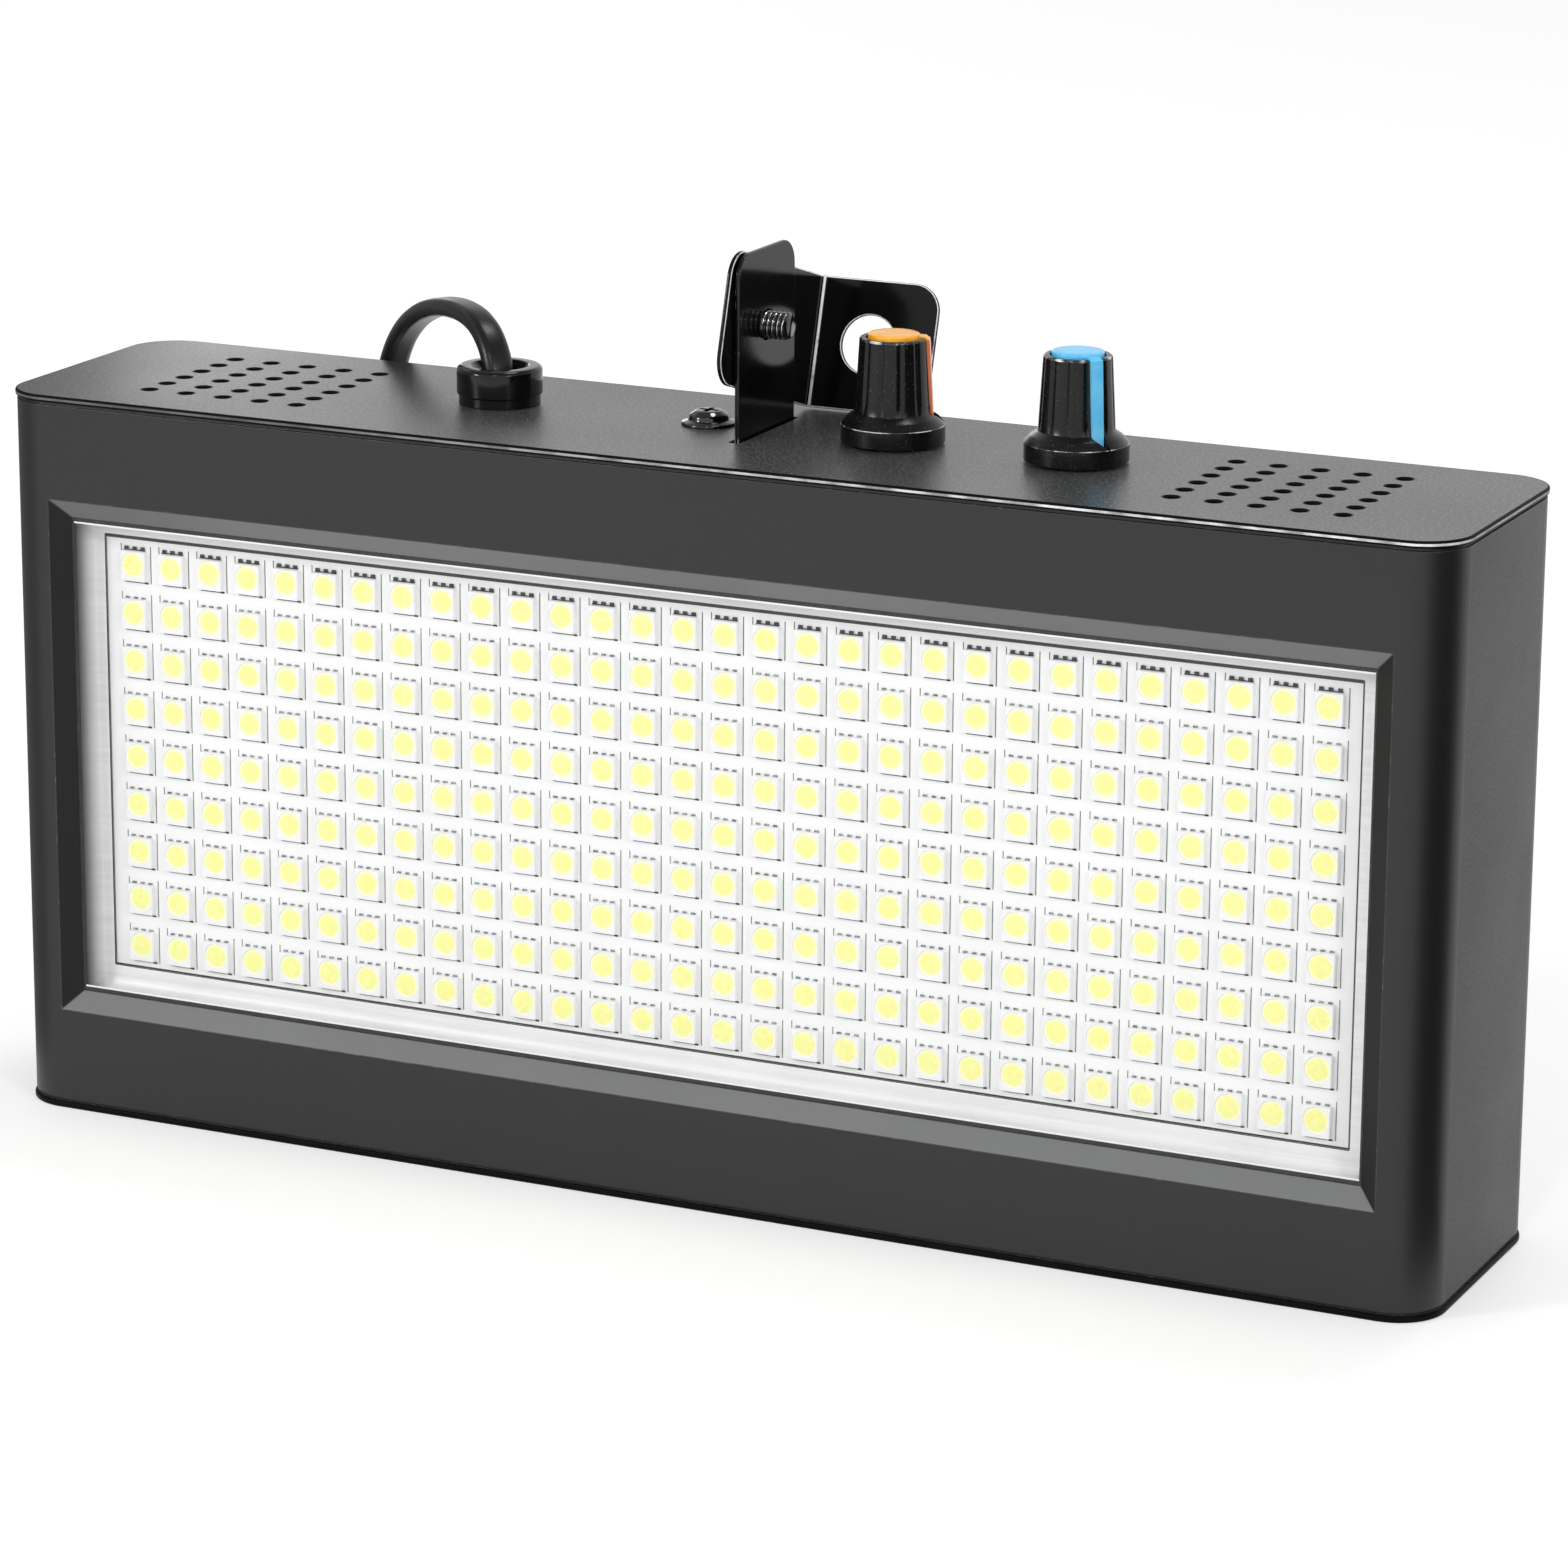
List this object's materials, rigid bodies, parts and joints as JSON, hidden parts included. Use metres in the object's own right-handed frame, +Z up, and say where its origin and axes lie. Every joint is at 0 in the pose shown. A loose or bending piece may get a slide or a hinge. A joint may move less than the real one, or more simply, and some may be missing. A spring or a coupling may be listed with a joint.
{
  "type": "strobe light",
  "caption": "Flat black LED strobe light: a boxy case with a wide window over rows of lamps, a folded hanging bracket, round control knobs and a flat mains cord with its plug.",
  "frame": {"origin": "middle of the underside of the case, on the surface that the light stands on", "axes": "+X to the right seen from the window's side, +Y to the back, +Z up"},
  "size_m": [0.2656, 0.1386, 0.1607],
  "materials": {
    "case_plastic": "smooth satin black",
    "case_paint": "finely grained satin black paint",
    "bracket_paint": "gloss black paint",
    "black_hardware": "glossy blackened steel",
    "clear_sheet": "clear and polished",
    "bright_metal": "brushed silver",
    "white_board": "white solder mask",
    "lamp_white": "white package with a pale yellow gel",
    "plain_steel": "plain zinc plate",
    "black_plastic": "moulded black",
    "knob_plastic": "satin moulded black",
    "orange_cap": "bright orange",
    "blue_cap": "bright sky blue",
    "grommet_plastic": "glossy moulded black",
    "cord_sheath": "satin black sheath",
    "plug_plastic": "moulded black",
    "blade_brass": "plain brass",
    "green_board": "green solder mask",
    "nylon": "natural nylon"
  },
  "bodies": {
    "light_body": {"front_shell": "case_plastic", "top_plate": "case_paint", "bottom_plate": "case_paint", "rear_cover": "case_paint", "rear_screw_1": "black_hardware", "rear_screw_2": "black_hardware", "rear_screw_3": "black_hardware", "rear_screw_4": "black_hardware", "rear_screw_5": "black_hardware", "rear_screw_6": "black_hardware", "window_lens": "clear_sheet", "reflector_tray": "bright_metal", "led_board": "white_board", "led_row_1": "lamp_white", "led_row_2": "lamp_white", "led_row_3": "lamp_white", "led_row_4": "lamp_white", "led_row_5": "lamp_white", "led_row_6": "lamp_white", "led_row_7": "lamp_white", "led_row_8": "lamp_white", "led_row_9": "lamp_white", "board_screw_1": "plain_steel", "board_screw_2": "plain_steel", "board_screw_3": "plain_steel", "board_screw_4": "plain_steel", "ear_bracket": "bracket_paint", "ear_screw": "black_hardware", "pivot_bolt": "black_hardware", "pivot_washer": "black_hardware", "speed_pot": "black_plastic", "speed_pot_nut": "plain_steel", "mode_pot": "black_plastic", "mode_pot_nut": "plain_steel", "grommet": "grommet_plastic", "grommet_nut": "black_plastic", "power_cord": "cord_sheath", "cord_coil": "cord_sheath", "cord_tail": "cord_sheath", "cord_tie": "black_plastic", "plug_body": "plug_plastic", "plug_blade_1": "blade_brass", "plug_blade_2": "blade_brass", "control_board": "green_board", "board_standoff_1": "nylon", "board_standoff_2": "nylon", "board_standoff_3": "nylon", "board_standoff_4": "nylon", "smoothing_capacitor": "black_plastic", "driver_chip": "black_plastic", "heat_sink": "bright_metal", "terminal_block": "nylon", "inner_lead": "cord_sheath"},
    "hanging_bracket": {"swing_bracket": "bracket_paint"},
    "speed_control": {"speed_shaft": "plain_steel", "speed_knob": "knob_plastic", "speed_knob_cap": "orange_cap"},
    "mode_control": {"mode_shaft": "plain_steel", "mode_knob": "knob_plastic", "mode_knob_cap": "blue_cap"}
  },
  "joints": [
    {"name": "bracket_tilt", "type": "hinge", "parent": "light_body", "child": "hanging_bracket", "pos_m": [0, 0.0034, 0.1472], "axis": [1, 0, 0], "range_deg": [0, 213]},
    {"name": "speed_turn", "type": "hinge", "parent": "light_body", "child": "speed_control", "pos_m": [0.0236, 0.0034, 0.13], "axis": [0, 0, 1], "range_deg": [-80, 220]},
    {"name": "mode_turn", "type": "hinge", "parent": "light_body", "child": "mode_control", "pos_m": [0.0566, 0.0034, 0.13], "axis": [0, 0, 1], "range_deg": [-26, 274]}
  ]
}
